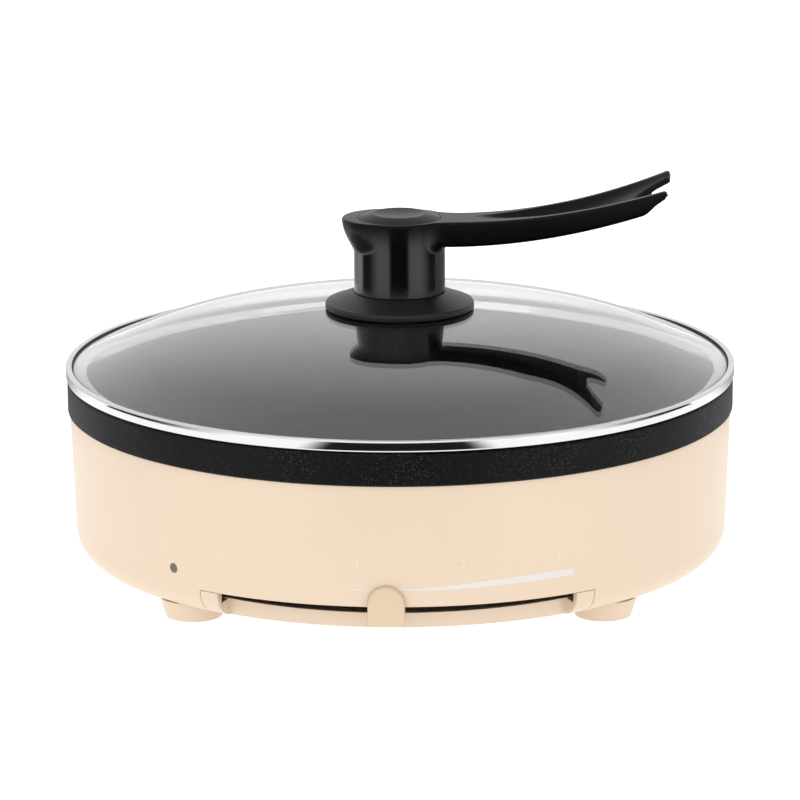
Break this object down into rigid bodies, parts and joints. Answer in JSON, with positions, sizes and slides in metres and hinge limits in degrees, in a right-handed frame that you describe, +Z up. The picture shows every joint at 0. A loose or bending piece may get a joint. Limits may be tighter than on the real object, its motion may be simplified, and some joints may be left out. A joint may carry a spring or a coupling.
{
  "type": "electric skillet",
  "caption": "Round electric skillet with a coated pan in a cream housing, a swinging heat lever under the front edge and a domed glass lid with a forked standing handle.",
  "frame": {"origin": "centre of the bounding box, on the worktop under the feet", "axes": "+Z up, -Y to the front where the heat lever is, +X to the right where the handle points"},
  "size_m": [0.312, 0.312, 0.1842],
  "materials": {
    "cream_plastic": "satin moulded",
    "coated_aluminium": "speckled non-stick coat",
    "black_plastic": "polished phenolic",
    "inlet_plastic": "fine grain",
    "polished_steel": "polished",
    "plain_steel": "plain",
    "brass": "plain",
    "silicone": "matt",
    "black_silicone": "matt",
    "ceramic": "matt",
    "lid_glass": "clear tempered",
    "lens": "smoky",
    "wire_jacket": "braided sleeve"
  },
  "bodies": {
    "base": {"shell": "cream_plastic", "base_plate": "cream_plastic", "foot_pad_fl": "silicone", "foot_pad_fr": "silicone", "foot_pad_rl": "silicone", "foot_pad_rr": "silicone", "base_screws": "plain_steel", "pan": "coated_aluminium", "pan_gasket": "black_silicone", "heater": "plain_steel", "heater_beads": "ceramic", "heat_shield": "plain_steel", "shield_screws": "plain_steel", "thermostat_bracket": "plain_steel", "thermostat_screws": "plain_steel", "thermostat_body": "ceramic", "thermostat_bush": "brass", "thermostat_leaves": "brass", "thermal_fuse": "brass", "fuse_clip": "plain_steel", "fuse_screw": "plain_steel", "indicator_lens": "lens", "indicator_lamp": "ceramic", "power_inlet": "inlet_plastic", "inlet_pins": "plain_steel", "inlet_screws": "plain_steel", "earth_tag": "brass", "earth_screw": "plain_steel", "wire_live": "wire_jacket", "wire_fuse": "wire_jacket", "wire_link": "wire_jacket", "wire_neutral": "wire_jacket", "wire_earth": "wire_jacket"},
    "control": {"control_lever": "cream_plastic", "thermostat_spindle": "plain_steel", "lever_screw": "plain_steel"},
    "lid": {"lid_glass": "lid_glass", "lid_rim": "polished_steel", "handle_flange": "black_plastic", "handle_seal": "black_silicone", "lid_handle": "black_plastic", "handle_cap": "black_plastic", "handle_insert": "brass", "lid_clamp": "black_plastic", "lid_screw": "plain_steel"}
  },
  "joints": [
    {"name": "lid_lift", "type": "slide", "parent": "base", "child": "lid", "axis": [0, 0, 1], "range_m": [0, 0.15]},
    {"name": "control_swing", "type": "hinge", "parent": "base", "child": "control", "pos_m": [0, 0, 0.0245], "axis": [0, 0, 1], "range_deg": [-28, 31]}
  ]
}
